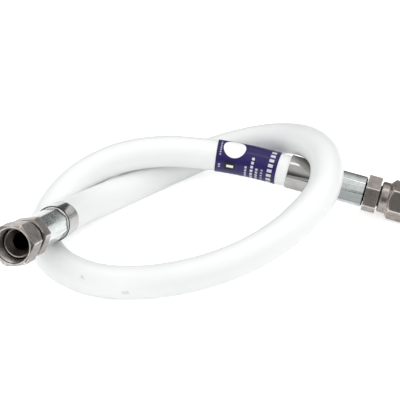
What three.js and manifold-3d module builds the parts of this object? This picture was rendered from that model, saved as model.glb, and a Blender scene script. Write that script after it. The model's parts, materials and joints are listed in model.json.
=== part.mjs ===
// Oil disposal hose: a lined, braided and covered hose laid in one loop, with a swivel nut
// fitting crimped on each end. Millimetres, +Z up, standing on Z = 0 and centred on the Z axis.
import * as THREE from 'three';
import { mergeVertices } from 'three/addons/utils/BufferGeometryUtils.js';
import Module from 'manifold-3d';

const wasm = await Module();
wasm.setup();

// Clearances
const SEAT_GAP = 0.3;
const SWIVEL_GAP = 0.8;
const LABEL_GAP = 0.2;

// How far a body to be cut reaches past its cutter, and when two corners count as one
const OVERCUT = 1;
const WELD_DISTANCE = 1e-4;

// Facets of every turned face
const ROUND_SEGMENTS = 32;

// Hose wall, from the bore outwards
const HOSE_BORE_RADIUS = 6.35;
const LINER_WALL = 1.0;
const BRAID_WALL = 0.8;
const COVER_RADIUS = 11.35;
const COVER_SIDES = 12;
const CORE_SIDES = 10;
const HOSE_STEPS = 48;

// Swivel nut, measured from its open mouth
const NUT_ACROSS_FLATS = 25.4;
const NUT_LENGTH = 24.1;
const NUT_HEX_LENGTH = 15.1;
const NUT_SKIRT_RADIUS = 11.2;
const NUT_FACE_RADIUS = 12.3;
const NUT_EDGE_ROUND = 1.2;
const NUT_THREAD_RADIUS = 11.1;
const NUT_THREAD_DEPTH = 11.5;
const NUT_THREAD_RELIEF = 0.35;
const NUT_MOUTH_CHAMFER = 0.4;

// Insert: conical seat, neck, fixed hexagon and barbed shank, turned in one piece
const SEAT_DEPTH = 10;
const SEAT_ANGLE = 37;
const SEAT_MOUTH_RADIUS = 8.9;
const NOSE_RADIUS = 9.6;
const NOSE_LENGTH = 6.5;
const NECK_RADIUS = 7.7;
const INSERT_BORE_RADIUS = 5.2;
const HEX_ACROSS_FLATS = 23.8;
const HEX_LENGTH = 9.9;
const HEX_CHAMFER = 0.5;
const GROOVE_RADIUS = 6.9;
const LAND_RADIUS = 7.9;
const LAND_LENGTH = 1.4;
const BARB_COUNT = 5;
const BARB_DEPTH = 0.35;
const BARB_RISE = 0.25;
const BARB_SETBACK = 1.4;
const SHANK_SETBACK = 3;

// Crimp collar and the polished band beside it
const COLLAR_RADIUS = 11.05;
const COLLAR_LENGTH = 38;
const COLLAR_LIP = 3;
const COLLAR_EDGE = 0.6;
const CRIMP_COUNT = 8;
const CRIMP_RIDGE = 0.25;
const CRIMP_RIDGE_ANGLE = 4;
const CRIMP_LAND_STEPS = 3;
const BAND_WALL = 0.55;
const BAND_LENGTH = 18.5;
const BAND_EDGE = 0.3;

// Label wrapped round the hose beside the right band
const LABEL_LENGTH = 45.8;
const LABEL_OFFSET = 7.4;
const LABEL_THICKNESS = 0.25;
const LABEL_SIDES = 30;
const LABEL_STEPS = 4;

// How each fitting points, from its nut towards the hose, and how its parts are rolled, in degrees
const LEFT_FITTING = { heading: 74.5, rise: -23.1, nutRoll: 47.8, hexRoll: 46, crimpRoll: 11 };
const RIGHT_FITTING = { heading: 165.6, rise: 9.0, nutRoll: 0, hexRoll: 48.8, crimpRoll: 21 };

// The hose's centreline from the left band to the right band
const ROUTE = [
  [-106.5, -17.5, 31.5],
  [-95.5, 10, 21],
  [-78.5, 35, 14],
  [-56.5, 57.5, 11.5],
  [-32.5, 77, 12],
  [-4.5, 91, 16.5],
  [25, 92, 25.5],
  [50, 78, 37.3],
  [67.5, 54, 47.5],
  [75.5, 24, 51.5],
  [71.5, -7, 49],
  [55.5, -33.5, 44],
  [33, -54, 37.5],
  [5.5, -67.5, 30.5],
  [-25, -72, 23],
  [-56, -68.5, 16],
  [-85.5, -58.5, 12],
  [-110, -38.5, 11.5],
  [-121, -9.5, 11.5],
  [-116.5, 20.7, 15],
  [-99, 44.6, 23.8],
  [-71.5, 57.8, 32.4],
  [-40.5, 62.9, 35.4],
  [-9, 62.9, 33.3],
  [21.5, 58, 30.5],
  [51.5, 49.5, 27],
];

// Sizes that follow from the ones above
const linerRadius = HOSE_BORE_RADIUS + LINER_WALL;
const braidBore = linerRadius + SEAT_GAP;
const braidRadius = braidBore + BRAID_WALL;
const coverBore = braidRadius + SEAT_GAP;
const shankRadius = HOSE_BORE_RADIUS - SEAT_GAP;
const hexStart = NUT_LENGTH + SWIVEL_GAP;
const hexEnd = hexStart + HEX_LENGTH;
const collarStart = hexEnd + SEAT_GAP;
const lipEnd = collarStart + COLLAR_LIP;
const landStart = lipEnd + SEAT_GAP;
const landEnd = landStart + LAND_LENGTH;
const hoseEnd = landEnd + SEAT_GAP;
const collarEnd = collarStart + COLLAR_LENGTH;
const shankEnd = collarEnd - SHANK_SETBACK;
const bandStart = collarEnd + SEAT_GAP;
const fittingLength = bandStart + BAND_LENGTH;
const bandBore = COVER_RADIUS + SEAT_GAP;
const bandRadius = bandBore + BAND_WALL;

const METALS = {
  steel: { color: 0x8f8781, roughness: 0.42, metalness: 0.9 },
  zinc: { color: 0xb9c0bd, roughness: 0.38, metalness: 0.85 },
  polished: { color: 0xb8b6b2, roughness: 0.12, metalness: 1 },
  braid: { color: 0xa9abad, roughness: 0.4, metalness: 0.9 },
};

function metal(name) {
  return new THREE.MeshStandardMaterial(METALS[name]);
}

function plastic(color, roughness) {
  return new THREE.MeshStandardMaterial({ color, roughness, metalness: 0 });
}

function namedMesh(name, geometry, material) {
  const mesh = new THREE.Mesh(geometry, material);
  mesh.name = name;
  return mesh;
}

// Solids in and out of the boolean library
function toSolid(geometry) {
  const bare = geometry.clone();
  bare.deleteAttribute('normal');
  bare.deleteAttribute('uv');
  const merged = mergeVertices(bare, WELD_DISTANCE);
  return new wasm.Manifold(new wasm.Mesh({
    numProp: 3,
    vertProperties: new Float32Array(merged.attributes.position.array),
    triVerts: new Uint32Array(merged.index.array),
  }));
}

function toGeometry(solid) {
  const mesh = solid.getMesh();
  const geometry = new THREE.BufferGeometry();
  geometry.setAttribute('position', new THREE.BufferAttribute(mesh.vertProperties, 3));
  geometry.setIndex(new THREE.BufferAttribute(mesh.triVerts, 1));
  geometry.computeVertexNormals();
  return geometry;
}

// A ring turned about +Y from a closed profile of [radius, place along the axis] pairs
function turned(profile) {
  const closed = [...profile, profile[0]];
  const points = closed.map(([radius, along]) => new THREE.Vector2(radius, along));
  return new THREE.LatheGeometry(points, ROUND_SEGMENTS);
}

// The corner radius of a regular polygon whose sides touch a circle of the given radius
function cornerRadius(circleRadius, sides) {
  return circleRadius / Math.cos(Math.PI / sides);
}

function hexPrism(acrossFlats, from, to) {
  const radius = cornerRadius(acrossFlats / 2, 6);
  const prism = new THREE.CylinderGeometry(radius, radius, to - from, 6);
  return prism.translate(0, (from + to) / 2, 0);
}

function nutGeometry() {
  const corner = cornerRadius(NUT_ACROSS_FLATS / 2, 6);
  const faceChamfer = (corner - NUT_FACE_RADIUS) * Math.tan(Math.PI / 6);
  const backChamfer = corner - NUT_SKIRT_RADIUS;
  const edgeBulge = NUT_EDGE_ROUND * (1 - Math.SQRT1_2);
  const lipRadius = NECK_RADIUS + SEAT_GAP;
  const cavityRadius = NUT_THREAD_RADIUS - NUT_THREAD_RELIEF;
  const shoulderStart = SEAT_DEPTH + NOSE_LENGTH + SEAT_GAP;
  const shoulderEnd = shoulderStart + cavityRadius - lipRadius;
  const ring = turned([
    [NUT_THREAD_RADIUS + NUT_MOUTH_CHAMFER, 0],
    [NUT_FACE_RADIUS, 0],
    [corner, faceChamfer],
    [corner, NUT_HEX_LENGTH],
    [NUT_SKIRT_RADIUS, NUT_HEX_LENGTH + backChamfer],
    [NUT_SKIRT_RADIUS, NUT_LENGTH - NUT_EDGE_ROUND],
    [NUT_SKIRT_RADIUS - edgeBulge, NUT_LENGTH - edgeBulge],
    [NUT_SKIRT_RADIUS - NUT_EDGE_ROUND, NUT_LENGTH],
    [lipRadius, NUT_LENGTH],
    [lipRadius, shoulderEnd],
    [cavityRadius, shoulderStart],
    [cavityRadius, NUT_THREAD_DEPTH + NUT_THREAD_RELIEF],
    [NUT_THREAD_RADIUS, NUT_THREAD_DEPTH],
    [NUT_THREAD_RADIUS, NUT_MOUTH_CHAMFER],
  ]);
  const prism = hexPrism(NUT_ACROSS_FLATS, -OVERCUT, NUT_LENGTH + OVERCUT);
  return toGeometry(toSolid(prism).intersect(toSolid(ring)));
}

function fixedHexSolid(hexRoll) {
  const corner = cornerRadius(HEX_ACROSS_FLATS / 2, 6);
  const ring = turned([
    [INSERT_BORE_RADIUS, hexStart],
    [corner - HEX_CHAMFER, hexStart],
    [corner, hexStart + HEX_CHAMFER],
    [corner, hexEnd - HEX_CHAMFER],
    [corner - HEX_CHAMFER, hexEnd],
    [INSERT_BORE_RADIUS, hexEnd],
  ]);
  const prism = hexPrism(HEX_ACROSS_FLATS, hexStart - OVERCUT, hexEnd + OVERCUT);
  prism.rotateY(THREE.MathUtils.degToRad(hexRoll));
  return toSolid(prism).intersect(toSolid(ring));
}

function barbProfile() {
  const start = hoseEnd + BARB_SETBACK;
  const pitch = (shankEnd - start) / BARB_COUNT;
  const points = [];
  for (let barb = 0; barb < BARB_COUNT; barb += 1) {
    const foot = start + barb * pitch;
    points.push([shankRadius - BARB_DEPTH, foot]);
    points.push([shankRadius, foot + pitch * BARB_RISE]);
  }
  points.push([shankRadius - BARB_DEPTH, shankEnd]);
  return points;
}

function insertGeometry(hexRoll) {
  const seatSlope = Math.tan(THREE.MathUtils.degToRad(SEAT_ANGLE));
  const seatEnd = SEAT_DEPTH + (SEAT_MOUTH_RADIUS - INSERT_BORE_RADIUS) / seatSlope;
  const noseEnd = SEAT_DEPTH + NOSE_LENGTH;
  const shoulderEnd = noseEnd + NOSE_RADIUS - NECK_RADIUS;
  const shaft = turned([
    [SEAT_MOUTH_RADIUS, SEAT_DEPTH],
    [NOSE_RADIUS, SEAT_DEPTH + SEAT_GAP],
    [NOSE_RADIUS, noseEnd],
    [NECK_RADIUS, shoulderEnd],
    [NECK_RADIUS, hexEnd],
    [GROOVE_RADIUS, hexEnd],
    [GROOVE_RADIUS, landStart],
    [LAND_RADIUS, landStart],
    [LAND_RADIUS, landEnd],
    [shankRadius, landEnd],
    ...barbProfile(),
    [INSERT_BORE_RADIUS, shankEnd],
    [INSERT_BORE_RADIUS, seatEnd],
  ]);
  return toGeometry(toSolid(shaft).add(fixedHexSolid(hexRoll)));
}

// The collar's outline after crimping: eight round lands with a low ridge between each two
function crimpedOutline() {
  const points = [];
  const land = 360 / CRIMP_COUNT - 2 * CRIMP_RIDGE_ANGLE;
  for (let die = 0; die < CRIMP_COUNT; die += 1) {
    const start = die * 360 / CRIMP_COUNT;
    points.push([COLLAR_RADIUS + CRIMP_RIDGE, start]);
    for (let step = 0; step <= CRIMP_LAND_STEPS; step += 1) {
      points.push([COLLAR_RADIUS, start + CRIMP_RIDGE_ANGLE + land * step / CRIMP_LAND_STEPS]);
    }
  }
  return points.map(([radius, angle]) => {
    const turn = THREE.MathUtils.degToRad(angle);
    return new THREE.Vector2(radius * Math.cos(turn), radius * Math.sin(turn));
  });
}

function collarGeometry(crimpRoll) {
  const outline = new THREE.Shape(crimpedOutline());
  const depth = COLLAR_LENGTH + 2 * OVERCUT;
  const prism = new THREE.ExtrudeGeometry(outline, { depth, bevelEnabled: false });
  prism.rotateX(-Math.PI / 2).rotateY(THREE.MathUtils.degToRad(crimpRoll));
  prism.translate(0, collarStart - OVERCUT, 0);
  const outer = COLLAR_RADIUS + CRIMP_RIDGE;
  const lipRadius = GROOVE_RADIUS + SEAT_GAP;
  const ring = turned([
    [lipRadius, collarStart],
    [outer - COLLAR_EDGE, collarStart],
    [outer, collarStart + COLLAR_EDGE],
    [outer, collarEnd - COLLAR_EDGE],
    [outer - COLLAR_EDGE, collarEnd],
    [coverBore, collarEnd],
    [coverBore, lipEnd],
    [lipRadius, lipEnd],
  ]);
  return toGeometry(toSolid(prism).intersect(toSolid(ring)));
}

function bandGeometry() {
  return turned([
    [bandBore, bandStart],
    [bandRadius - BAND_EDGE, bandStart],
    [bandRadius, bandStart + BAND_EDGE],
    [bandRadius, fittingLength - BAND_EDGE],
    [bandRadius - BAND_EDGE, fittingLength],
    [bandBore, fittingLength],
  ]);
}

// The direction of a fitting's axis, from its nut towards the hose
function fittingAxis({ heading, rise }) {
  const turn = THREE.MathUtils.degToRad(heading);
  const lift = THREE.MathUtils.degToRad(rise);
  return new THREE.Vector3(
    Math.cos(lift) * Math.cos(turn),
    Math.cos(lift) * Math.sin(turn),
    Math.sin(lift),
  );
}

// One end of the hose: nut, insert, crimp collar and band on a shared axis
function fitting(side, pose, bandPoint) {
  const axis = fittingAxis(pose);
  const level = new THREE.Vector3(0, 0, 1).cross(axis).normalize();
  const upward = axis.clone().cross(level);
  const group = new THREE.Group();
  group.quaternion.setFromRotationMatrix(new THREE.Matrix4().makeBasis(upward, axis, level));
  group.position.copy(bandPoint).addScaledVector(axis, -fittingLength);
  const nut = namedMesh(`${side}_swivel_nut`, nutGeometry(), metal('steel'));
  nut.rotation.y = THREE.MathUtils.degToRad(pose.nutRoll);
  group.add(nut);
  group.add(namedMesh(`${side}_insert`, insertGeometry(pose.hexRoll), metal('steel')));
  group.add(namedMesh(`${side}_crimp_collar`, collarGeometry(pose.crimpRoll), metal('zinc')));
  group.add(namedMesh(`${side}_band`, bandGeometry(), metal('polished')));
  return group;
}

// A centreline given by its stations, so that nested walls share every cross-section
class StationLine extends THREE.Curve {
  constructor(points, tangents) {
    super();
    this.points = points;
    this.tangents = tangents;
  }

  station(fraction) {
    return Math.round(fraction * (this.points.length - 1));
  }

  getPointAt(fraction, target = new THREE.Vector3()) {
    return target.copy(this.points[this.station(fraction)]);
  }

  getTangentAt(fraction, target = new THREE.Vector3()) {
    return target.copy(this.tangents[this.station(fraction)]);
  }
}

const leftAxis = fittingAxis(LEFT_FITTING);
const rightAxis = fittingAxis(RIGHT_FITTING);
const routePoints = ROUTE.map((place) => new THREE.Vector3(...place));
const route = new THREE.CatmullRomCurve3(routePoints, false, 'centripetal');
const leftBandPoint = routePoints[0];
const rightBandPoint = routePoints[routePoints.length - 1];

function stationsBetween(from, to, steps) {
  const points = [];
  const tangents = [];
  for (let step = 0; step <= steps; step += 1) {
    const fraction = from + (to - from) * step / steps;
    points.push(route.getPointAt(fraction));
    tangents.push(route.getTangentAt(fraction));
  }
  return { points, tangents };
}

// The whole centreline, reaching straight into each fitting as far as the given place in it
function hoseLine(placeInFitting) {
  const reach = fittingLength - placeInFitting;
  const { points, tangents } = stationsBetween(0, 1, HOSE_STEPS);
  points.unshift(leftBandPoint.clone().addScaledVector(leftAxis, -reach));
  tangents.unshift(leftAxis.clone());
  points.push(rightBandPoint.clone().addScaledVector(rightAxis, -reach));
  tangents.push(rightAxis.clone().negate());
  return new StationLine(points, tangents);
}

function circlePoints(radius, sides) {
  const points = [];
  for (let side = 0; side < sides; side += 1) {
    const turn = 2 * Math.PI * side / sides;
    points.push(new THREE.Vector2(radius * Math.cos(turn), radius * Math.sin(turn)));
  }
  return points;
}

// A many-sided tube wall along a line, its bore and outside given by their corner radii
function wallAlong(line, boreCorner, outerCorner, sides) {
  const section = new THREE.Shape(circlePoints(outerCorner, sides));
  section.holes.push(new THREE.Path(circlePoints(boreCorner, sides)));
  const steps = line.points.length - 1;
  return new THREE.ExtrudeGeometry(section, { steps, extrudePath: line, bevelEnabled: false });
}

function labelLine() {
  const length = route.getLength();
  const end = 1 - LABEL_OFFSET / length;
  const start = end - LABEL_LENGTH / length;
  const { points, tangents } = stationsBetween(start, end, LABEL_STEPS);
  return new StationLine(points, tangents);
}

function hoseLayers() {
  const group = new THREE.Group();
  const core = hoseLine(hoseEnd);
  const linerBore = cornerRadius(HOSE_BORE_RADIUS, CORE_SIDES);
  const linerWall = wallAlong(core, linerBore, linerRadius, CORE_SIDES);
  const braidWall = wallAlong(core, braidBore, braidRadius, CORE_SIDES);
  const coverInner = cornerRadius(coverBore, COVER_SIDES);
  const coverWall = wallAlong(hoseLine(bandStart), coverInner, COVER_RADIUS, COVER_SIDES);
  const labelInner = cornerRadius(COVER_RADIUS + LABEL_GAP, LABEL_SIDES);
  const labelOuter = labelInner + LABEL_THICKNESS;
  const labelWall = wallAlong(labelLine(), labelInner, labelOuter, LABEL_SIDES);
  group.add(namedMesh('hose_liner', linerWall, plastic(0xf2f1ec, 0.35)));
  group.add(namedMesh('wire_braid', braidWall, metal('braid')));
  group.add(namedMesh('hose_cover', coverWall, plastic(0xeef1ef, 0.45)));
  group.add(namedMesh('label', labelWall, plastic(0x28235a, 0.3)));
  return group;
}

// Stand the finished hose on Z = 0 with the middle of its box on the Z axis
function centred(content) {
  const holder = new THREE.Group();
  holder.add(content);
  const box = new THREE.Box3().setFromObject(content, true);
  const middle = box.getCenter(new THREE.Vector3());
  content.position.set(-middle.x, -middle.y, -box.min.z);
  return holder;
}

const assembly = new THREE.Group();
assembly.add(hoseLayers());
assembly.add(fitting('left', LEFT_FITTING, leftBandPoint));
assembly.add(fitting('right', RIGHT_FITTING, rightBandPoint));

export default centred(assembly);
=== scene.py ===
"""An oil disposal hose laid in one loop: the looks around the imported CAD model, in metres."""
import json
import math

import bmesh
import bpy
from mathutils import Matrix, Vector
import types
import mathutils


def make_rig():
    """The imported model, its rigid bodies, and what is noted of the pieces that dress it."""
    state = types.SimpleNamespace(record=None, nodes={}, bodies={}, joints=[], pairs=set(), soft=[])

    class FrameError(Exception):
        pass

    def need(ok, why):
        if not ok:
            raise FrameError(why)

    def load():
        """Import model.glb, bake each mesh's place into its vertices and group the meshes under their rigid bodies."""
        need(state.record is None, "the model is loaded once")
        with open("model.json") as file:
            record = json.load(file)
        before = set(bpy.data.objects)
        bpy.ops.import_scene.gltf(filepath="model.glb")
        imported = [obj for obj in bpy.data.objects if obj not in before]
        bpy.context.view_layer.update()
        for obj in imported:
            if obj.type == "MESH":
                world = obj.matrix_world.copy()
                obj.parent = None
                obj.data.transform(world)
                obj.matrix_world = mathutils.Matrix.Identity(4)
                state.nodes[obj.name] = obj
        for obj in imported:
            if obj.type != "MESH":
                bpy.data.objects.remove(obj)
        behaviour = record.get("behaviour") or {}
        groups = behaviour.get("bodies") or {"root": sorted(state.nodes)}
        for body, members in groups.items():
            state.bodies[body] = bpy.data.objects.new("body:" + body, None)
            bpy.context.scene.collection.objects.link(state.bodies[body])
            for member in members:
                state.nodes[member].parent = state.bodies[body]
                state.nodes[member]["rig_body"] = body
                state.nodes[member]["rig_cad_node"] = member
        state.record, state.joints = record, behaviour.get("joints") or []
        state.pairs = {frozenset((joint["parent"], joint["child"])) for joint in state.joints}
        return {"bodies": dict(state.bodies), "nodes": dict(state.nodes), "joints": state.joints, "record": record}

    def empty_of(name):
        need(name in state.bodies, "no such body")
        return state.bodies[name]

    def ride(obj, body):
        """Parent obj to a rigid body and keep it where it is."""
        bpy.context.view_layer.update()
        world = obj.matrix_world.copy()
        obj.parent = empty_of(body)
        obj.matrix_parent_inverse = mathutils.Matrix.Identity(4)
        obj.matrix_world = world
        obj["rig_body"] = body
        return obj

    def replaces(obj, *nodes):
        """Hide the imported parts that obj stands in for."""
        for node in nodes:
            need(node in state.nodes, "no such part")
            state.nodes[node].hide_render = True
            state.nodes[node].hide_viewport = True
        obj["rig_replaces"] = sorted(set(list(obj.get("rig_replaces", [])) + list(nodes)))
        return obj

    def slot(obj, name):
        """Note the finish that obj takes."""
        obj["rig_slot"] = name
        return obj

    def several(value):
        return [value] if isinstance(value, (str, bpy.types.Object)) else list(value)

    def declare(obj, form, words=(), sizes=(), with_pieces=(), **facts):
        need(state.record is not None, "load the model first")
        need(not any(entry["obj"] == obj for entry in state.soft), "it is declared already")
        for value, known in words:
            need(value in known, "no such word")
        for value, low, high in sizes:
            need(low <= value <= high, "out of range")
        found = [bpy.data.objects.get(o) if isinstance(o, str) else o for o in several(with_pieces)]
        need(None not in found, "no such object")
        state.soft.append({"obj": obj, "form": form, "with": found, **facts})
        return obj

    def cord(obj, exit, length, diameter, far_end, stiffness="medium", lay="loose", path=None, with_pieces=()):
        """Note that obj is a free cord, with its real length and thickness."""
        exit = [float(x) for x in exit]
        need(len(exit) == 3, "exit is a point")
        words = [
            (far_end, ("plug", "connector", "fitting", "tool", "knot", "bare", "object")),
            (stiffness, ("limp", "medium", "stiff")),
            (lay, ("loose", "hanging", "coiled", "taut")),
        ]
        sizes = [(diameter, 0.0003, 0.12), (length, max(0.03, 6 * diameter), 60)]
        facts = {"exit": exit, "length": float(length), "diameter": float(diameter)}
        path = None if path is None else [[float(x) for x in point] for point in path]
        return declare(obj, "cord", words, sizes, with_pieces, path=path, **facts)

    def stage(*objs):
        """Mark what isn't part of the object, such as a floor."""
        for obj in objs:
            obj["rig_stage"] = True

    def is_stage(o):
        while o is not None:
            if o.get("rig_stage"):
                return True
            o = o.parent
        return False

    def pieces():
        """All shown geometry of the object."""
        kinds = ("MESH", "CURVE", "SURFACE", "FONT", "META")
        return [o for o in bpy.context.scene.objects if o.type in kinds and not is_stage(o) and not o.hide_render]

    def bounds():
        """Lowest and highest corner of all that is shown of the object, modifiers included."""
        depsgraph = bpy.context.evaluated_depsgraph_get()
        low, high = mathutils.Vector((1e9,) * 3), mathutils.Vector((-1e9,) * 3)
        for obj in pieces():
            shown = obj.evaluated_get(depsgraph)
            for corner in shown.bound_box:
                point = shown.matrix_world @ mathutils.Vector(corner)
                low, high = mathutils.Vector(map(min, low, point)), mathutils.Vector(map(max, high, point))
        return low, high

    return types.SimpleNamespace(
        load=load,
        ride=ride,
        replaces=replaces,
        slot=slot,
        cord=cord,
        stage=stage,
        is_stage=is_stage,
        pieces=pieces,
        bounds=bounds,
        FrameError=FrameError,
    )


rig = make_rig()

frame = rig.load()
cad_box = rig.bounds()

MM = 0.001

# The hose's centreline from the left band to the right band, and how far the model was centred
SHIFT = Vector((-0.000075, 0.000152, 0.0001))
ROUTE = [
    (-0.1065, -0.0175, 0.0315), (-0.0955, 0.01, 0.021), (-0.0785, 0.035, 0.014),
    (-0.0565, 0.0575, 0.0115), (-0.0325, 0.077, 0.012), (-0.0045, 0.091, 0.0165),
    (0.025, 0.092, 0.0255), (0.05, 0.078, 0.0373), (0.0675, 0.054, 0.0475),
    (0.0755, 0.024, 0.0515), (0.0715, -0.007, 0.049), (0.0555, -0.0335, 0.044),
    (0.033, -0.054, 0.0375), (0.0055, -0.0675, 0.0305), (-0.025, -0.072, 0.023),
    (-0.056, -0.0685, 0.016), (-0.0855, -0.0585, 0.012), (-0.11, -0.0385, 0.0115),
    (-0.121, -0.0095, 0.0115), (-0.1165, 0.0207, 0.015), (-0.099, 0.0446, 0.0238),
    (-0.0715, 0.0578, 0.0324), (-0.0405, 0.0629, 0.0354), (-0.009, 0.0629, 0.0333),
    (0.0215, 0.058, 0.0305), (0.0515, 0.0495, 0.027),
]

# Fitting sizes in millimetres, as in the CAD: radii, and places measured from the nut's open mouth
NUT_FLATS, NUT_LENGTH, NUT_HEX = 25.4, 24.1, 15.1
SKIRT, FACE, THREAD, THREAD_END = 11.2, 12.3, 11.1, 11.5
THREAD_PITCH, THREAD_HEIGHT, THREAD_START = 1.814, 0.72, 0.4
CAVITY, CAVITY_END = 10.75, 16.8
LIP, LIP_START = 8.0, 19.55
SEAT, SEAT_START, SEAT_END = 8.35, 10, 14.91
NOSE, NOSE_END = 9.6, 16.5
NECK, NECK_START = 7.7, 18.4
HEX_FLATS, HEX_START, HEX_END, HEX_CHAMFER = 23.8, 24.9, 34.8, 0.5
GROOVE, LAND, LAND_START, LAND_END = 6.9, 7.9, 38.4, 39.8
BORE, SHANK, SHANK_END = 5.2, 6.05, 70.1
COLLAR_START, COLLAR_END, COLLAR, CRIMP_RIDGE, CRIMP_BEAD = 35.1, 73.1, 11.05, 0.25, 0.14
COLLAR_LIP, COLLAR_LIP_END = 7.2, 38.1
BAND_START, BAND_END, BAND, BAND_BORE = 73.4, 91.9, 12.2, 11.6

# How far small edges and the end of the nut's skirt are rounded, in millimetres
NUT_EDGE, INSERT_EDGE, COLLAR_EDGE, BAND_EDGE = 0.18, 0.15, 0.2, 0.28
SKIRT_ROUND, SKIRT_ROUND_IN = 1.2, 0.35

# How much is taken off a hexagon's corners, and how softly its flats end there and at the chamfer
CORNER_CUT, CORNER_BLEND, CHAMFER_BLEND = 0.12, 0.2, 0.25

# Levels on the metals: painted shade in the gaps, recesses and hidden faces, plain, or bright on the rubbed edges and
# as painted highlights on the thread crests and the seat's rim
PAINTED_SHADE, PLAIN, RUBBED_AND_HIGHLIGHT = -1, 0, 1
PAINTED_SHADE_COLOUR = (0.02, 0.016, 0.014)

# The hose and the label on it, in millimetres
HOSE, HOSE_BORE = 11.35, 9.06
LABEL_OFFSET, LABEL_LENGTH, LABEL = 7.4, 45.8, 11.72
LABEL_TAPER, LABEL_GAP = 0.1, 0.02

# How finely their meshes are laid: metres between two rings, and sides to a ring
HOSE_STEP, HOSE_SIDES = 0.002, 64
LABEL_STEP, LABEL_SIDES = 0.0005, 96

# Marks on the label: from its right end, then round the hose from the top, in millimetres
DISC_PLACE, DISC_RADIUS = (33.2, 3.6), 8.1
BOX = ((30.8, 39.1), (14.6, 21.4))
BOX_BAR = ((32.0, 37.2), (17.4, 19.4))
ROWS = [
    {"along": (2.9, 6.4), "first": -1.5, "bar": 2.3, "gap": 1.5, "count": 8, "ink": 0.7},
    {"along": (9.4, 11.0), "first": 15.4, "bar": 1.3, "gap": 0.9, "count": 6, "ink": 0.4},
    {"along": (13.2, 15.0), "first": 15.6, "bar": 1.6, "gap": 0.8, "count": 6, "ink": 0.6},
    {"along": (17.0, 19.0), "first": 8.4, "bar": 1.9, "gap": 1.1, "count": 7, "ink": 0.75},
    {"along": (21.8, 23.4), "first": 15.8, "bar": 1.7, "gap": 0.8, "count": 5, "ink": 0.6},
    {"along": (42.4, 43.5), "first": -1.0, "bar": 1.1, "gap": 0.7, "count": 7, "ink": 0.45},
    {"along": (42.0, 43.6), "first": 17.4, "bar": 1.2, "gap": 0.7, "count": 2, "ink": 0.5},
]

# The radius at which turned pieces are unrolled for their UVs, in metres
UNROLL = 0.012

# The crimped land of the collar painted darker than the others, as unrolled: a painted dark reflection
CRIMPS = 8
LAND_WIDTH = 2 * math.pi / CRIMPS * UNROLL
PAINTED_REFLECTION_LAND = 5.5 * LAND_WIDTH

# Rub marks on the cover, each with its reach, in metres
SCUFFS = [
    ((-0.0900, -0.0659, 0.0190), 0.0017), ((-0.0885, -0.0672, 0.0180), 0.0012),
    ((-0.0625, -0.0787, 0.0155), 0.0020), ((-0.0600, -0.0790, 0.0160), 0.0020),
]

LEFT = {
    "side": "left", "heading": 74.5, "rise": -23.1, "nut_roll": 47.8, "hex_roll": 46, "crimp_roll": 11,
}
RIGHT = {
    "side": "right", "heading": 165.6, "rise": 9.0, "nut_roll": 0, "hex_roll": 48.8, "crimp_roll": 21,
}


# Camera at the photograph's angle
def make_camera():
    data = bpy.data.cameras.new("camera")
    data.sensor_width = 36
    data.lens = 129.9
    data.clip_start = 0.05
    camera = bpy.data.objects.new("camera", data)
    camera.location = (-0.01248, -0.82485, 0.5937)
    camera.rotation_euler = Vector((0, 0.8282, -0.5605)).to_track_quat("-Z", "Y").to_euler()
    bpy.context.scene.collection.objects.link(camera)
    bpy.context.scene.camera = camera


# Places along the hose
def knot_gap(a, b):
    return max(math.sqrt((a - b).length), 1e-6)


def curve_between(p0, p1, p2, p3, t):
    """A point of the centripetal curve through four places, between the middle two."""
    d0, d1, d2 = knot_gap(p0, p1), knot_gap(p1, p2), knot_gap(p2, p3)
    start = (p1 - p0) / d0 - (p2 - p0) / (d0 + d1) + (p2 - p1) / d1
    end = (p2 - p1) / d1 - (p3 - p1) / (d1 + d2) + (p3 - p2) / d2
    m1, m2 = start * d1, end * d1
    a = 2 * p1 - 2 * p2 + m1 + m2
    b = -3 * p1 + 3 * p2 - 2 * m1 - m2
    return ((a * t + b) * t + m1) * t + p1


def dense_route(steps=40):
    places = [Vector(p) + SHIFT for p in ROUTE]
    before = 2 * places[0] - places[1]
    after = 2 * places[-1] - places[-2]
    knots = [before, *places, after]
    points = []
    for i in range(len(places) - 1):
        for k in range(steps):
            points.append(curve_between(*knots[i:i + 4], k / steps))
    return points + [places[-1]]


def axis_of(pose):
    """The direction of a fitting's axis, from its nut towards the hose."""
    turn, lift = math.radians(pose["heading"]), math.radians(pose["rise"])
    level = math.cos(lift)
    return Vector((level * math.cos(turn), level * math.sin(turn), math.sin(lift)))


def whole_line():
    """The cover's centreline, with its straight ends inside the two bands."""
    inside = (BAND_END - BAND_START) * MM
    route = dense_route()
    first, last = route[0] - axis_of(LEFT) * inside, route[-1] - axis_of(RIGHT) * inside
    return [first, *route, last]


def resampled(line, step):
    """Points the same distance apart on a line, with the length up to each."""
    lengths = [0.0]
    for a, b in zip(line, line[1:]):
        lengths.append(lengths[-1] + (b - a).length)
    count = round(lengths[-1] / step)
    points, k = [], 0
    for i in range(count + 1):
        at = lengths[-1] * i / count
        while k < len(line) - 2 and lengths[k + 1] < at:
            k += 1
        share = (at - lengths[k]) / (lengths[k + 1] - lengths[k])
        points.append(line[k].lerp(line[k + 1], share))
    return points, lengths[-1]


def frames_along(points):
    """For each point two directions across the line, turning no more than the line does."""
    last = len(points) - 1
    tangents = [(points[min(i + 1, last)] - points[max(i - 1, 0)]).normalized() for i in range(last + 1)]
    side = tangents[0].cross(Vector((0, 0, 1))).normalized()
    found = []
    for tangent in tangents:
        side = (side - tangent * side.dot(tangent)).normalized()
        found.append((side, tangent.cross(side)))
    return found


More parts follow.
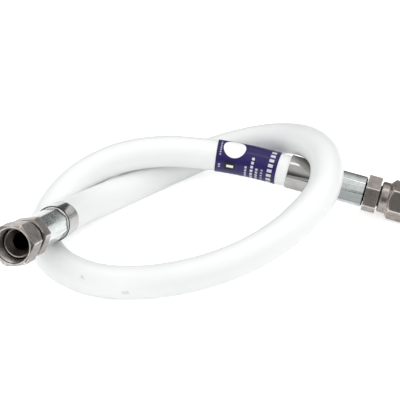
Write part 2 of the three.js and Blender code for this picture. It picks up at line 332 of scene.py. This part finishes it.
# Meshes
def grid_mesh(name, rows, wrap, uvs, wear_and_shade=None):
    """A mesh of rings: rows of points, closed around each ring and, if wrap, from last to first."""
    around, count = len(rows[0]), len(rows)
    spans = count if wrap else count - 1
    faces, coords = [], []
    for i in range(spans):
        for j in range(around):
            n, m = (i + 1) % count, (j + 1) % around
            faces.append((i * around + j, i * around + m, n * around + m, n * around + j))
            (u0, v0), (u1, v1) = uvs(i, j), uvs(i + 1, j + 1)
            coords += [u0, v0, u0, v1, u1, v1, u1, v0]
    mesh = bpy.data.meshes.new(name)
    mesh.from_pydata([p for row in rows for p in row], [], faces)
    mesh.uv_layers.new(name="UVMap").data.foreach_set("uv", coords)
    mesh.polygons.foreach_set("use_smooth", [True] * len(faces))
    if wear_and_shade:
        layer = mesh.attributes.new("wear_and_shade", "FLOAT", "POINT")
        layer.data.foreach_set("value", [w for row in wear_and_shade for w in row])
    bm = bmesh.new()
    bm.from_mesh(mesh)
    bmesh.ops.recalc_face_normals(bm, faces=bm.faces)
    bm.to_mesh(mesh)
    bm.free()
    piece = bpy.data.objects.new(name, mesh)
    bpy.context.scene.collection.objects.link(piece)
    return piece


def finished(piece, body, slot, material, node):
    """A piece with its material, on its body, in the place of its CAD node."""
    piece.data.materials.append(material)
    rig.ride(piece, body)
    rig.slot(piece, slot)
    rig.replaces(piece, node)
    return piece


def rounded(profile, size):
    """A closed profile with each corner cut back and rounded."""
    points = []
    for i, corner in enumerate(profile):
        here = Vector(corner)
        edges = []
        for neighbour in (Vector(profile[i - 1]), Vector(profile[(i + 1) % len(profile)])):
            reach = min(size, (neighbour - here).length * 0.45)
            edges.append(here + (neighbour - here).normalized() * reach)
        middle = (edges[0] + edges[1]) / 4 + here / 2
        points += [edges[0], middle, edges[1]]
    return points


def stepped(profile, step):
    """A closed profile with more points on its long stretches."""
    points = []
    for i, a in enumerate(profile):
        b = profile[(i + 1) % len(profile)]
        count = max(1, math.ceil((b - a).length / step(a, b)))
        points += [a.lerp(b, k / count) for k in range(count)]
    return points


def soft_min(a, b, softness):
    h = max(softness - abs(a - b), 0) / softness
    return min(a, b) - h * h * softness / 4


def hexagon(flats, turn):
    """The radius of a hexagon with slightly rounded corners, and the distance to its nearest corner."""
    from_middle = (math.degrees(turn) + 30) % 60 - 30
    radius = flats / 2 / math.cos(math.radians(from_middle))
    corner = flats / 2 / math.cos(math.pi / 6)
    away = math.radians(30 - abs(from_middle)) * corner
    return soft_min(radius, corner - CORNER_CUT, CORNER_BLEND), away


# Turns round a hexagon and round a crimped collar, closer together at the corners and ridges
HEX_SECTOR = [0, 0.7, 1.4, 2.4, 4.5, 8, 12, 17, 22, 26, 30, 34, 38, 43, 48, 52, 55.5, 57.6, 58.6, 59.3]
HEX_TURNS = [math.radians(30 + 60 * sector + a) for sector in range(6) for a in HEX_SECTOR]
CRIMP_SECTOR = 360 // CRIMPS
CRIMP_PLACES = [0, 1.2, 2.4, 4, 7, 11, 15, 19, 22.5, 26, 30, 34, 38, 41, 42.6, 43.8]
CRIMP_TURNS = [math.radians(CRIMP_SECTOR * sector + a) for sector in range(CRIMPS) for a in CRIMP_PLACES]


def around(count):
    return [2 * math.pi * k / count for k in range(count)]


def turned_piece(name, profile, turns, radius_at, pose, roll):
    """A ring about a fitting's axis, whose radius may change around it."""
    place = fitting_matrix(pose)
    rows, wear_and_shade = [], []
    for radius, along in profile:
        row, rub_and_shade = [], []
        for turn in turns:
            r, w = radius_at(radius, along, turn)
            angle = turn + math.radians(roll)
            row.append(place @ (Vector((r * math.cos(angle), along, -r * math.sin(angle))) * MM))
            rub_and_shade.append(w)
        rows.append(row)
        wear_and_shade.append(rub_and_shade)
    lengths = [0.0]
    for a, b in zip(profile, [*profile[1:], profile[0]]):
        lengths.append(lengths[-1] + (b - a).length * MM)
    unrolled = [*turns, turns[0] + 2 * math.pi]
    piece = grid_mesh(name, rows, True, lambda i, j: (lengths[i], unrolled[j] * UNROLL), wear_and_shade)
    normals = piece.modifiers.new("weighted", "WEIGHTED_NORMAL")
    normals.keep_sharp = True
    return piece


def fitting_matrix(pose):
    """From a fitting's own frame, with +Y along its axis from the nut's mouth, to the row frame."""
    axis = axis_of(pose)
    level = Vector((0, 0, 1)).cross(axis).normalized()
    upward = axis.cross(level)
    band = Vector(ROUTE[0] if pose is LEFT else ROUTE[-1]) + SHIFT
    turn = Matrix((upward, axis, level)).transposed().to_4x4()
    return Matrix.Translation(band - axis * BAND_END * MM) @ turn


def make_nut(pose, material):
    corner = NUT_FLATS / 2 / math.cos(math.pi / 6)
    chamfer = (corner - FACE) * math.tan(math.pi / 6)
    outline = [
        (THREAD + THREAD_START, 0), (FACE, 0), (corner, chamfer), (corner, NUT_HEX),
        (SKIRT, NUT_HEX + corner - SKIRT), (SKIRT, NUT_LENGTH - SKIRT_ROUND),
        (SKIRT - SKIRT_ROUND_IN, NUT_LENGTH - SKIRT_ROUND_IN),
        (SKIRT - SKIRT_ROUND, NUT_LENGTH), (LIP, NUT_LENGTH), (LIP, LIP_START), (CAVITY, CAVITY_END),
        (CAVITY, THREAD_END + 0.35), (THREAD, THREAD_END), (THREAD, THREAD_START),
    ]

    def step(a, b):
        middle = (a + b) / 2
        if middle.x > SKIRT and middle.y < 1.6:
            return 0.15
        if THREAD - 0.1 < middle.x < THREAD + 0.1 and middle.y < THREAD_END:
            return 0.13
        return 0.35 if middle.x > SKIRT and middle.y > NUT_HEX - 0.5 else 2

    def radius_at(radius, along, turn):
        flat, away = hexagon(NUT_FLATS, turn)
        if radius > SKIRT + 0.05 and along < NUT_HEX + 4:
            rub_and_shade = math.exp(-(away / 0.7) ** 2) + math.exp(-((flat - radius) / 0.16) ** 2)
            rub_and_shade = min(RUBBED_AND_HIGHLIGHT, rub_and_shade) if radius > FACE else RUBBED_AND_HIGHLIGHT / 2
            return soft_min(flat, radius, CHAMFER_BLEND), rub_and_shade
        if abs(radius - THREAD) < 0.1 and THREAD_START < along < THREAD_END:
            phase = (along / THREAD_PITCH - turn / (2 * math.pi)) % 1
            height = min(1, 2.3 * min(phase, 1 - phase)) * min(1, (along - THREAD_START) / 1.2)
            # Painted highlight on the thread crests and painted shade in the thread roots
            return radius - THREAD_HEIGHT * height, 1.5 * height - 0.8
        # Painted shade on the nut's back face, its lip and the inside of the nut
        return radius, PAINTED_SHADE if radius < SKIRT - SKIRT_ROUND - 0.1 else PLAIN

    profile = stepped(rounded(outline, NUT_EDGE), step)
    name = pose["side"] + "_swivel_nut"
    piece = turned_piece(name + "_fine", profile, HEX_TURNS, radius_at, pose, pose["nut_roll"])
    return finished(piece, pose["side"] + "_nut", "fitting_steel", material, name)


def make_insert(pose, material):
    corner = HEX_FLATS / 2 / math.cos(math.pi / 6)
    outline = [
        (SEAT, SEAT_START + 0.73), (SEAT + 0.4, SEAT_START + 0.2), (NOSE - 0.3, SEAT_START),
        (NOSE, SEAT_START + 0.3), (NOSE, NOSE_END), (NECK, NECK_START), (NECK, HEX_START),
        (corner - HEX_CHAMFER, HEX_START), (corner, HEX_START + HEX_CHAMFER),
        (corner, HEX_END - HEX_CHAMFER), (corner - HEX_CHAMFER, HEX_END), (GROOVE, HEX_END),
        (GROOVE, LAND_START), (LAND, LAND_START), (LAND, LAND_END), (SHANK, LAND_END),
        (SHANK, SHANK_END), (BORE, SHANK_END), (BORE, SEAT_END),
    ]

    def step(a, b):
        middle = (a + b) / 2
        return 0.2 if middle.x > 12 and min(middle.y - HEX_START, HEX_END - middle.y) < 0.8 else 1.5

    def radius_at(radius, along, turn):
        flat, away = hexagon(HEX_FLATS, turn)
        if radius > 11 and HEX_START - 0.1 < along < HEX_END + 0.1:
            edge = min(along - HEX_START, HEX_END - along)
            rub_and_shade = math.exp(-(away / 0.6) ** 2) + math.exp(-(edge / 0.4) ** 2)
            return soft_min(flat, radius, CHAMFER_BLEND), min(RUBBED_AND_HIGHLIGHT, rub_and_shade)
        # Painted shade on the hex's end faces, the nose, the neck and the parts inside the collar
        if radius > NOSE - 0.2 or along > SEAT_END + 1:
            return radius, PAINTED_SHADE
        # Painted highlight on the seat's rim and painted shade over the seat cone
        return radius, RUBBED_AND_HIGHLIGHT if along < SEAT_START + 0.8 else PAINTED_SHADE / 4

    profile = stepped(rounded(outline, INSERT_EDGE), step)
    name = pose["side"] + "_insert"
    piece = turned_piece(name + "_fine", profile, HEX_TURNS, radius_at, pose, pose["hex_roll"])
    return finished(piece, "hose", "fitting_steel", material, name)


def make_collar(pose, material):
    outer = COLLAR + CRIMP_RIDGE
    outline = [
        (COLLAR_LIP, COLLAR_START), (9.4, COLLAR_START), (outer, COLLAR_START + 0.95),
        (outer, COLLAR_END - 0.3), (COLLAR - 0.1, COLLAR_END), (HOSE_BORE, COLLAR_END),
        (HOSE_BORE, COLLAR_LIP_END), (COLLAR_LIP, COLLAR_LIP_END),
    ]

    def radius_at(radius, along, turn):
        from_ridge = math.degrees(turn) % CRIMP_SECTOR
        from_middle = math.radians(from_ridge - CRIMP_SECTOR / 2)
        flat = math.cos(math.radians(12)) / math.cos(from_middle)
        land = COLLAR * (0.45 + 0.55 * flat) - 0.05
        bead = math.exp(-(min(from_ridge, CRIMP_SECTOR - from_ridge) / 1.6) ** 2)
        # Painted shade on the collar's end faces and inside it
        if radius < 10 or along < COLLAR_START + 0.8 or along > COLLAR_END - 0.12:
            return min(radius, land), PAINTED_SHADE
        return soft_min(radius, land + CRIMP_BEAD * bead, 0.15), RUBBED_AND_HIGHLIGHT * bead

    profile = stepped(rounded(outline, COLLAR_EDGE), lambda a, b: 2.5)
    name = pose["side"] + "_crimp_collar"
    piece = turned_piece(name + "_fine", profile, CRIMP_TURNS, radius_at, pose, pose["crimp_roll"])
    return finished(piece, "hose", "collar_zinc", material, name)


def make_band(pose, material):
    outline = [(BAND_BORE, BAND_START), (BAND, BAND_START), (BAND, BAND_END), (BAND_BORE, BAND_END)]

    def shade_at(radius, along, turn):
        # Painted shade on the band's bore and on its end face against the collar
        hidden = radius < BAND_BORE + 0.05 or along < BAND_START + 0.1
        return radius, PAINTED_SHADE if hidden else PLAIN

    profile = stepped(rounded(outline, BAND_EDGE), lambda a, b: 1.5)
    name = pose["side"] + "_band"
    piece = turned_piece(name + "_fine", profile, around(96), shade_at, pose, 0)
    return finished(piece, "hose", "band_steel", material, name)


def ring_rows(points, frames, radii, count):
    rows = []
    for point, (side, other), radius in zip(points, frames, radii):
        ring = [side * math.cos(turn) + other * math.sin(turn) for turn in around(count)]
        rows.append([point + arm * radius * MM for arm in ring])
    return rows


def make_hose(material):
    points, length = resampled(whole_line(), HOSE_STEP)
    frames = frames_along(points)
    outer = ring_rows(points, frames, [HOSE] * len(points), HOSE_SIDES)
    inner = ring_rows(points, frames, [HOSE_BORE] * len(points), HOSE_SIDES)
    rows = outer + inner[::-1]
    last = len(points)

    def uvs(i, j):
        along = i if i < last else max(2 * last - 1 - i, 0)
        return along * length / (last - 1), j / HOSE_SIDES

    piece = grid_mesh("hose_cover_fine", rows, True, uvs)
    piece.modifiers.new("weighted", "WEIGHTED_NORMAL")
    finished(piece, "hose", "cover", material, "hose_cover")
    path = [tuple(p) for p in points[::2]] + [tuple(points[-1])]
    return piece, path, length


def upright_frames(points):
    """Across the line at each point, downwards and then away from the camera's side."""
    last = len(points) - 1
    found = []
    for i in range(last + 1):
        tangent = (points[min(i + 1, last)] - points[max(i - 1, 0)]).normalized()
        up = (Vector((0, 0, 1)) - tangent * tangent.z).normalized()
        found.append((-up, -tangent.cross(up)))
    return found


def make_label(material):
    """The wrap, unrolled so that it is measured from its right end and from the top of the hose."""
    points, length = resampled(whole_line(), LABEL_STEP)
    step = length / (len(points) - 1)
    frames = upright_frames(points)
    end = round((length - ((BAND_END - BAND_START) + LABEL_OFFSET) * MM) / step)
    start = end - round(LABEL_LENGTH * MM / step)
    chosen, across = points[start:end + 1], frames[start:end + 1]
    edge = LABEL - LABEL_TAPER
    outer = ring_rows(chosen, across, [edge, *[LABEL] * (len(chosen) - 2), edge], LABEL_SIDES)
    inner = ring_rows(chosen, across, [HOSE + LABEL_GAP] * len(chosen), LABEL_SIDES)
    last = len(chosen)

    def uvs(i, j):
        along = i if i < last else max(2 * last - 1 - i, 0)
        return (last - 1 - along) * step, (2 * j / LABEL_SIDES - 1) * math.pi * LABEL * MM

    piece = grid_mesh("label_fine", outer + inner[::-1], True, uvs)
    return finished(piece, "hose", "label", material, "label")


# Materials
class Nodes:
    """The nodes of a material or of the world, and short ways to add to them."""

    def __init__(self, owner, shader="Principled BSDF"):
        owner.use_nodes = True
        self.owner = owner
        self.tree = owner.node_tree
        self.shader = self.tree.nodes[shader]

    def add(self, kind, **settings):
        node = self.tree.nodes.new(kind)
        for key, value in settings.items():
            setattr(node, key, value)
        return node

    def put(self, socket, value):
        """Give a socket a number, a colour or another node's result."""
        if isinstance(value, (int, float)):
            socket.default_value = value
        elif isinstance(value, tuple):
            socket.default_value = value if len(value) == len(socket.default_value) else (*value, 1)
        else:
            self.tree.links.new(value, socket)

    def set(self, **values):
        for key, value in values.items():
            self.put(self.shader.inputs[key.replace("_", " ")], value)

    def math(self, operation, *values):
        node = self.add("ShaderNodeMath", operation=operation)
        for socket, value in zip(node.inputs, values):
            self.put(socket, value)
        return node.outputs[0]

    def total(self, values):
        found = values[0]
        for value in values[1:]:
            found = self.math("ADD", found, value)
        return found

    def vector(self, operation, a, b):
        node = self.add("ShaderNodeVectorMath", operation=operation)
        self.put(node.inputs[0], a)
        self.put(node.inputs[1], b)
        return node.outputs["Value"]

    def noise(self, place, scale, detail=3, roughness=0.5):
        node = self.add("ShaderNodeTexNoise")
        looks = {"Vector": place, "Scale": scale, "Detail": detail, "Roughness": roughness}
        for key, value in looks.items():
            self.put(node.inputs[key], value)
        return node.outputs["Fac"]

    def span(self, value, low, high, to_low, to_high):
        """A value's range laid on another range, and held at its ends."""
        node = self.add("ShaderNodeMapRange")
        ranges = {"Value": value, "From Min": low, "From Max": high, "To Min": to_low, "To Max": to_high}
        for key, amount in ranges.items():
            self.put(node.inputs[key], amount)
        return node.outputs["Result"]

    def mix(self, share, a, b):
        node = self.add("ShaderNodeMix", data_type="RGBA")
        sockets = [socket for socket in node.inputs if socket.enabled]
        for socket, value in zip(sockets, (share, a, b)):
            self.put(socket, value)
        return next(socket for socket in node.outputs if socket.enabled)

    def stretched(self, place, scale):
        node = self.add("ShaderNodeMapping")
        self.put(node.inputs["Scale"], scale)
        self.put(node.inputs["Vector"], place)
        return node.outputs["Vector"]

    def bump(self, height, strength, distance):
        node = self.add("ShaderNodeBump")
        for key, value in (("Strength", strength), ("Distance", distance), ("Height", height)):
            self.put(node.inputs[key], value)
        self.set(Normal=node.outputs["Normal"])

    def place(self):
        return self.add("ShaderNodeTexCoord").outputs["Object"]

    def uv(self):
        return self.add("ShaderNodeUVMap", uv_map="UVMap").outputs["UV"]


def new_material(name):
    return Nodes(bpy.data.materials.new(name))


def with_rubs_and_shade(n, base, bright, share):
    """A metal's colour, brighter on its rubbed edges and its painted highlights, and darkened to near black by painted
    shade in its gaps and recesses.
    """
    rub_and_shade = n.add("ShaderNodeAttribute", attribute_name="wear_and_shade").outputs["Fac"]
    base = n.mix(n.math("MULTIPLY", n.span(rub_and_shade, PLAIN, RUBBED_AND_HIGHLIGHT, 0, 1), share), base, bright)
    # Painted shade: near black mixed in where the level falls below plain
    return n.mix(n.span(rub_and_shade, -0.05, -0.8, 0, 0.93), base, PAINTED_SHADE_COLOUR)


def steel_material():
    n = new_material("fitting_steel")
    place, uv = n.place(), n.uv()
    stain = n.noise(place, 180, 4, 0.6)
    grain = n.noise(place, 2600, 2)
    turning = n.noise(n.stretched(uv, (9000, 60, 1)), 1, 2)
    base = n.mix(n.span(stain, 0.3, 0.7, 0, 1), (0.29, 0.252, 0.232), (0.49, 0.448, 0.416))
    base = n.mix(n.span(grain, 0.45, 0.7, 0, 0.5), base, (0.2, 0.172, 0.155))
    base = with_rubs_and_shade(n, base, (0.82, 0.79, 0.755), n.span(stain, 0.3, 0.6, 0.35, 0.85))
    n.set(Base_Color=base, Roughness=n.span(stain, 0.3, 0.7, 0.34, 0.24), Metallic=1.0)
    n.bump(n.math("ADD", grain, n.math("MULTIPLY", turning, 0.6)), 0.5, 0.00005)
    return n.owner


def zinc_material():
    n = new_material("collar_zinc")
    place, uv = n.place(), n.uv()
    clouds = n.noise(place, 220, 4, 0.6)
    lengthwise = n.noise(n.stretched(uv, (20, 800, 1)), 1, 4, 0.65)
    grain = n.noise(place, 3000, 2)
    base = n.mix(n.span(clouds, 0.3, 0.7, 0, 1), (0.58, 0.62, 0.605), (0.76, 0.79, 0.78))
    base = n.mix(n.span(lengthwise, 0.5, 0.68, 0, 0.7), base, (0.30, 0.33, 0.33))
    split = n.add("ShaderNodeSeparateXYZ")
    n.put(split.inputs[0], uv)
    # Painted dark reflection on one crimped land
    painted_reflection = n.math("COMPARE", split.outputs["Y"], PAINTED_REFLECTION_LAND, LAND_WIDTH / 2)
    base = n.mix(n.math("MULTIPLY", painted_reflection, 0.8), base, (0.20, 0.22, 0.225))
    base = with_rubs_and_shade(n, base, (0.86, 0.88, 0.87), 0.7)
    n.set(Base_Color=base, Roughness=n.span(clouds, 0.3, 0.7, 0.16, 0.28), Metallic=1.0)
    n.bump(n.math("ADD", lengthwise, n.math("MULTIPLY", grain, 0.2)), 0.8, 0.0001)
    return n.owner


def polished_material():
    n = new_material("band_polished")
    place, uv = n.place(), n.uv()
    swirl = n.noise(place, 90, 2)
    hairline = n.noise(n.stretched(uv, (6000, 40, 1)), 1, 2)
    base = n.mix(n.span(swirl, 0.3, 0.7, 0, 1), (0.37, 0.358, 0.35), (0.47, 0.458, 0.45))
    base = with_rubs_and_shade(n, base, (0.8, 0.79, 0.78), 0.6)
    n.set(Base_Color=base, Roughness=n.span(hairline, 0.3, 0.7, 0.06, 0.13), Metallic=1.0)
    n.bump(n.math("ADD", swirl, n.math("MULTIPLY", hairline, 0.05)), 0.25, 0.0003)
    return n.owner


def cover_material():
    n = new_material("hose_cover")
    place, uv = n.place(), n.uv()
    clouds = n.noise(place, 26, 3)
    streak = n.noise(n.stretched(uv, (14, 26, 1)), 1, 3)
    pores = n.noise(place, 1900, 2)
    base = n.mix(n.span(clouds, 0.3, 0.7, 0, 1), (0.835, 0.856, 0.847), (0.868, 0.882, 0.876))
    base = n.mix(n.span(streak, 0.4, 0.75, 0, 0.2), base, (0.80, 0.82, 0.81))
    rubs = []
    for spot, reach in SCUFFS:
        away = n.vector("DISTANCE", place, tuple(spot))
        rubs.append(n.span(away, reach * 0.3, reach, 0.5, 0))
    rub = n.math("MULTIPLY", n.total(rubs), n.span(pores, 0.35, 0.6, 0.5, 1))
    base = n.mix(rub, base, (0.42, 0.44, 0.42))
    n.set(Base_Color=base, Roughness=n.span(streak, 0.3, 0.7, 0.3, 0.4))
    n.set(Coat_Weight=0.15, Coat_Roughness=0.2)
    n.set(Subsurface_Weight=0.25, Subsurface_Scale=0.004, Subsurface_Radius=(1, 1, 0.95))
    n.bump(n.math("ADD", pores, n.math("MULTIPLY", clouds, 6)), 0.12, 0.00012)
    return n.owner


def label_material():
    """A glossy navy film with a plain disc, a plain box and rows of plain bars."""
    n = new_material("label_wrap")
    split = n.add("ShaderNodeSeparateXYZ")
    n.put(split.inputs[0], n.uv())
    along, turned = (n.math("MULTIPLY", split.outputs[axis], 1 / MM) for axis in ("X", "Y"))
    tone = n.noise(n.place(), 300, 2)

    def between(value, low, high):
        edge = 0.12
        rise = n.span(value, low - edge, low + edge, 0, 1)
        return n.math("MULTIPLY", rise, n.span(value, high - edge, high + edge, 1, 0))

    def field(along_range, turned_range):
        return n.math("MULTIPLY", between(along, *along_range), between(turned, *turned_range))

    def disc(middle, radius):
        steps = [n.math("SUBTRACT", value, at) for value, at in zip((along, turned), middle)]
        away = n.math("SQRT", n.total([n.math("POWER", step, 2) for step in steps]))
        return n.span(away, radius - 0.15, radius + 0.15, 1, 0)

    def row(along, first, bar, gap, count, ink):
        spans = [(first + k * (bar + gap), first + k * (bar + gap) + bar) for k in range(count)]
        return n.math("MULTIPLY", n.total([field(along, span) for span in spans]), ink)

    base = n.mix(n.span(tone, 0.3, 0.7, 0, 1), (0.017, 0.012, 0.084), (0.024, 0.017, 0.108))
    base = n.mix(disc(DISC_PLACE, DISC_RADIUS), base, (0.90, 0.90, 0.92))
    base = n.mix(field(*BOX), base, (0.012, 0.010, 0.016))
    ink = n.total([field(*BOX_BAR), *[row(**places) for places in ROWS]])
    base = n.mix(n.math("MINIMUM", ink, 1.0), base, (0.84, 0.84, 0.87))
    n.set(Base_Color=base, Roughness=0.45, Specular_IOR_Level=0.1, Coat_Weight=0.4, Coat_Roughness=0.08)
    n.bump(n.noise(n.place(), 120, 2), 0.2, 0.0004)
    return n.owner


def hidden_material(name, low, high, metallic):
    n = new_material(name)
    grain = n.noise(n.place(), 900, 3)
    n.set(Base_Color=n.mix(n.span(grain, 0.3, 0.7, 0, 1), low, high), Metallic=metallic, Roughness=0.4)
    n.bump(grain, 0.3, 0.0001)
    return n.owner


# Floor and light
def make_floor():
    """A white sheet a little larger than the picture, on a table in a dim room."""
    front, back, half_width = -0.21, 0.5, 0.6
    corners = [(-half_width, front), (half_width, front), (half_width, back), (-half_width, back)]
    mesh = bpy.data.meshes.new("floor")
    mesh.from_pydata([(x, y, -0.0002) for x, y in corners], [], [(0, 1, 2, 3)])
    floor = bpy.data.objects.new("floor", mesh)
    bpy.context.scene.collection.objects.link(floor)
    n = new_material("floor_white")
    path = n.add("ShaderNodeLightPath")
    mirrored = n.math("ADD", path.outputs["Is Glossy Ray"], path.outputs["Is Transmission Ray"])
    glow = n.math("MULTIPLY", path.outputs["Is Camera Ray"], 0.5)
    glow = n.math("ADD", glow, n.math("MULTIPLY", mirrored, 0.28))
    n.set(Base_Color=(0.93, 0.93, 0.93), Roughness=0.9, Specular_IOR_Level=0.1)
    n.set(Emission_Color=(1, 1, 1), Emission_Strength=glow)
    floor.data.materials.append(n.owner)
    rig.stage(floor)


def make_world():
    """White for the camera; round the object a bright ceiling over dim walls."""
    world = bpy.data.worlds.new("studio")
    bpy.context.scene.world = world
    n = Nodes(world, "Background")
    split = n.add("ShaderNodeSeparateXYZ")
    n.put(split.inputs[0], n.add("ShaderNodeTexCoord").outputs["Generated"])
    level = n.span(split.outputs["Z"], 0.4, 0.75, 0.13, 0.92)
    path = n.add("ShaderNodeLightPath")
    level = n.math("ADD", level, n.math("MULTIPLY", path.outputs["Is Diffuse Ray"], 0.15))
    n.set(Color=(1, 1, 1), Strength=n.math("MAXIMUM", level, path.outputs["Is Camera Ray"]))


def area_light(name, place, size, power, mirrored=True):
    data = bpy.data.lights.new(name, "AREA")
    data.shape = "RECTANGLE"
    data.size, data.size_y = size
    data.energy = power
    light = bpy.data.objects.new(name, data)
    light.location = place
    light.rotation_euler = (Vector((0, 0, 0.02)) - Vector(place)).to_track_quat("-Z", "Y").to_euler()
    light.visible_glossy = mirrored
    bpy.context.scene.collection.objects.link(light)


def make_lights():
    area_light("top_softbox", (0.0, 0.1, 1.3), (1.4, 0.3), 2)
    area_light("front_left_softbox", (-0.85, -1.05, 0.3), (0.45, 0.45), 1.4)
    area_light("right_softbox", (1.1, -0.2, 0.7), (0.6, 0.8), 1.2)
    area_light("front_fill", (-0.1, -1.2, 1.0), (0.8, 0.8), 5.8, mirrored=False)
    area_light("low_fill", (0.1, -1.3, 0.15), (1.0, 0.3), 0.8, mirrored=False)
    area_light("left_fill", (-1.2, -0.1, 0.3), (0.6, 0.6), 2.2, mirrored=False)
    area_light("right_fill", (1.2, -0.1, 0.3), (0.6, 0.6), 3.2, mirrored=False)


bpy.context.scene.view_settings.view_transform = "Standard"
make_camera()
hose, path, cord_length = make_hose(cover_material())
label = make_label(label_material())
steel, zinc, polished = steel_material(), zinc_material(), polished_material()
made = {}
for pose in (LEFT, RIGHT):
    made[pose["side"]] = [
        make_nut(pose, steel), make_insert(pose, steel), make_collar(pose, zinc), make_band(pose, polished),
    ]
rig.cord(
    hose, exit=path[0], length=cord_length, diameter=2 * HOSE * MM, far_end="fitting",
    stiffness="stiff", lay="loose", path=path, with_pieces=[label, *made["right"]],
)
inner_looks = {
    "hose_liner": hidden_material("liner_white", (0.86, 0.85, 0.80), (0.92, 0.91, 0.87), 0),
    "wire_braid": hidden_material("braid_steel", (0.42, 0.42, 0.42), (0.66, 0.66, 0.66), 1),
}
for node, material in inner_looks.items():
    for material_slot in frame["nodes"][node].material_slots:
        material_slot.material = material
make_floor()
make_world()
make_lights()

visual_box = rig.bounds()
with open("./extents.json", "w") as file:
    boxes = {"cad": cad_box, "visual": visual_box}
    json.dump({name: [list(corner) for corner in box] for name, box in boxes.items()}, file)
